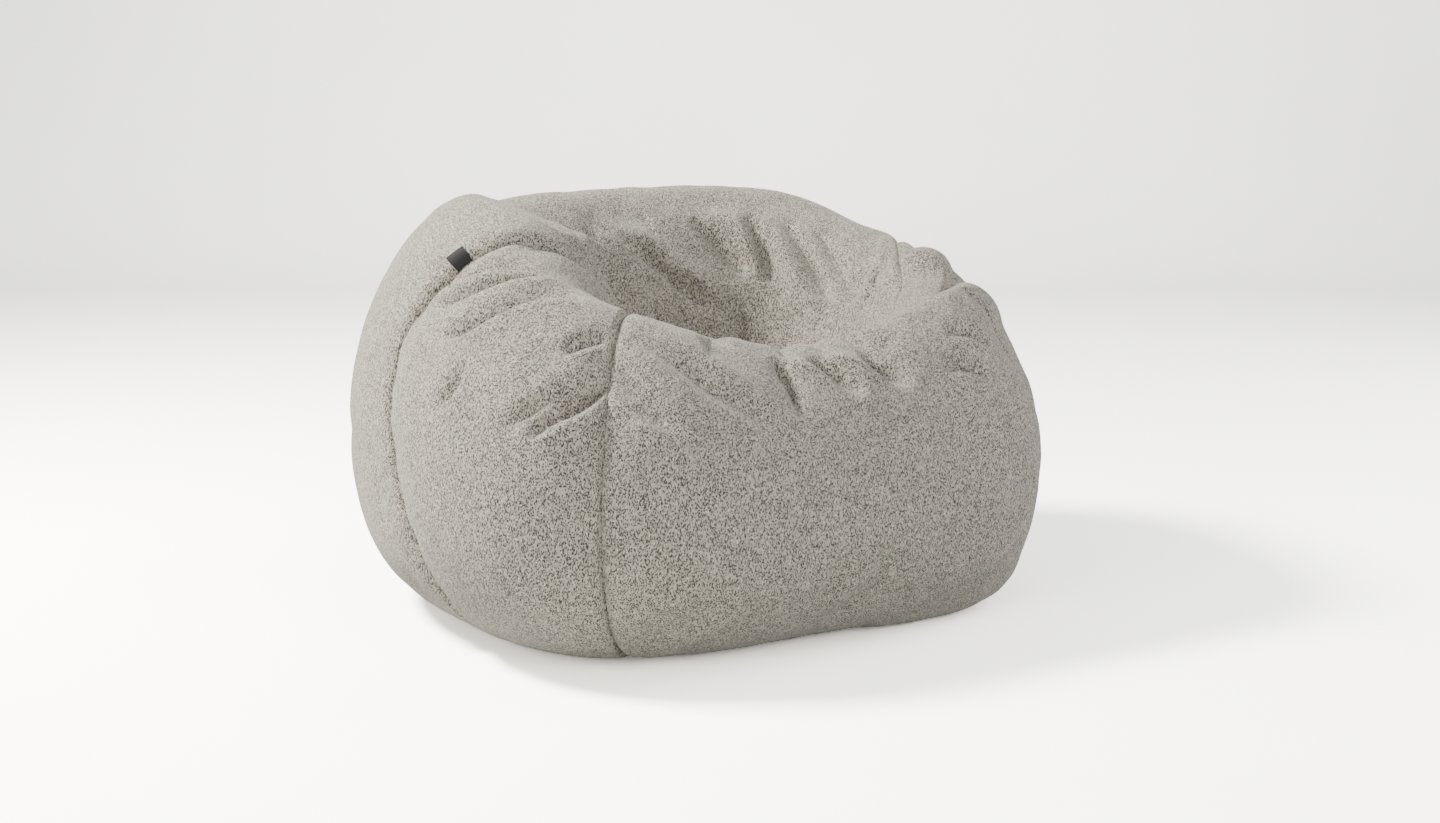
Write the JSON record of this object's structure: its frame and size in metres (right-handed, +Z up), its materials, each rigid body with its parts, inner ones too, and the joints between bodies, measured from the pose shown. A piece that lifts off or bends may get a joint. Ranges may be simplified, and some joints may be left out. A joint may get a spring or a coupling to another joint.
{
  "type": "bean bag chair",
  "caption": "Large round bean bag chair with a deep seat hollow, raised back and arms, sewn cloth cover and a zipped liner of foam beads.",
  "frame": {"origin": "centre of the footprint, on the floor", "axes": "+Z up, +X along the width, towards the sitter's left; the chair faces -Y"},
  "size_m": [1.1744, 0.975, 0.7073],
  "materials": {
    "cover_fabric": "matte flecked boucle weave, warm light grey",
    "base_fabric": "dense plain canvas, dark grey",
    "seam_tape": "cotton twill tape",
    "zip_tape": "woven polyester tape, grey",
    "zip_coil": "nylon coil, grey",
    "zip_metal": "die-cast zinc, grey lacquer",
    "label_ribbon": "satin ribbon, charcoal, no lettering",
    "liner_fabric": "thin plain polyester, white",
    "beads": "expanded polystyrene beads, white"
  },
  "bodies": {
    "bag": {"front_panel": "cover_fabric", "left_gusset": "cover_fabric", "right_gusset": "cover_fabric", "back_panel": "cover_fabric", "back_hem_panel": "cover_fabric", "crown_patch": "cover_fabric", "base_panel": "base_fabric", "seam_tape_back_left": "seam_tape", "seam_tape_front_left": "seam_tape", "seam_tape_front_right": "seam_tape", "seam_tape_back_right": "seam_tape", "seam_tape_base": "seam_tape", "zip_tape_upper": "zip_tape", "zip_tape_lower": "zip_tape", "liner_zip_tape_upper": "zip_tape", "liner_zip_tape_lower": "zip_tape", "zip_coil_upper": "zip_coil", "zip_coil_lower": "zip_coil", "liner_zip_coil_upper": "zip_coil", "liner_zip_coil_lower": "zip_coil", "zip_stops": "zip_metal", "liner_zip_stops": "zip_metal", "woven_label": "label_ribbon", "liner_left_gore": "liner_fabric", "liner_front_gore": "liner_fabric", "liner_right_gore": "liner_fabric", "liner_back_gore": "liner_fabric", "liner_base": "liner_fabric", "liner_crown": "liner_fabric", "bead_fill": "beads"},
    "cover_zip_slider": {"zip_slider": "zip_metal"},
    "cover_zip_pull": {"zip_pull": "zip_metal"},
    "liner_zip_slider": {"liner_zip_slider": "zip_metal"}
  },
  "joints": [
    {"name": "cover_zip_run", "type": "hinge", "parent": "bag", "child": "cover_zip_slider", "pos_m": [0.011, -0.60231, 0.112], "axis": [0, 0, -1], "range_deg": [0, 24.8]},
    {"name": "cover_zip_pull_swing", "type": "hinge", "parent": "cover_zip_slider", "child": "cover_zip_pull", "pos_m": [-0.218, 0.43412, 0.11136], "axis": [-0.0771, 0.3487, 0.9341], "range_deg": [0, 170]},
    {"name": "liner_zip_run", "type": "hinge", "parent": "bag", "child": "liner_zip_slider", "pos_m": [0.011, -0.61257, 0.168], "axis": [0, 0, -1], "range_deg": [0, 24.8]}
  ]
}
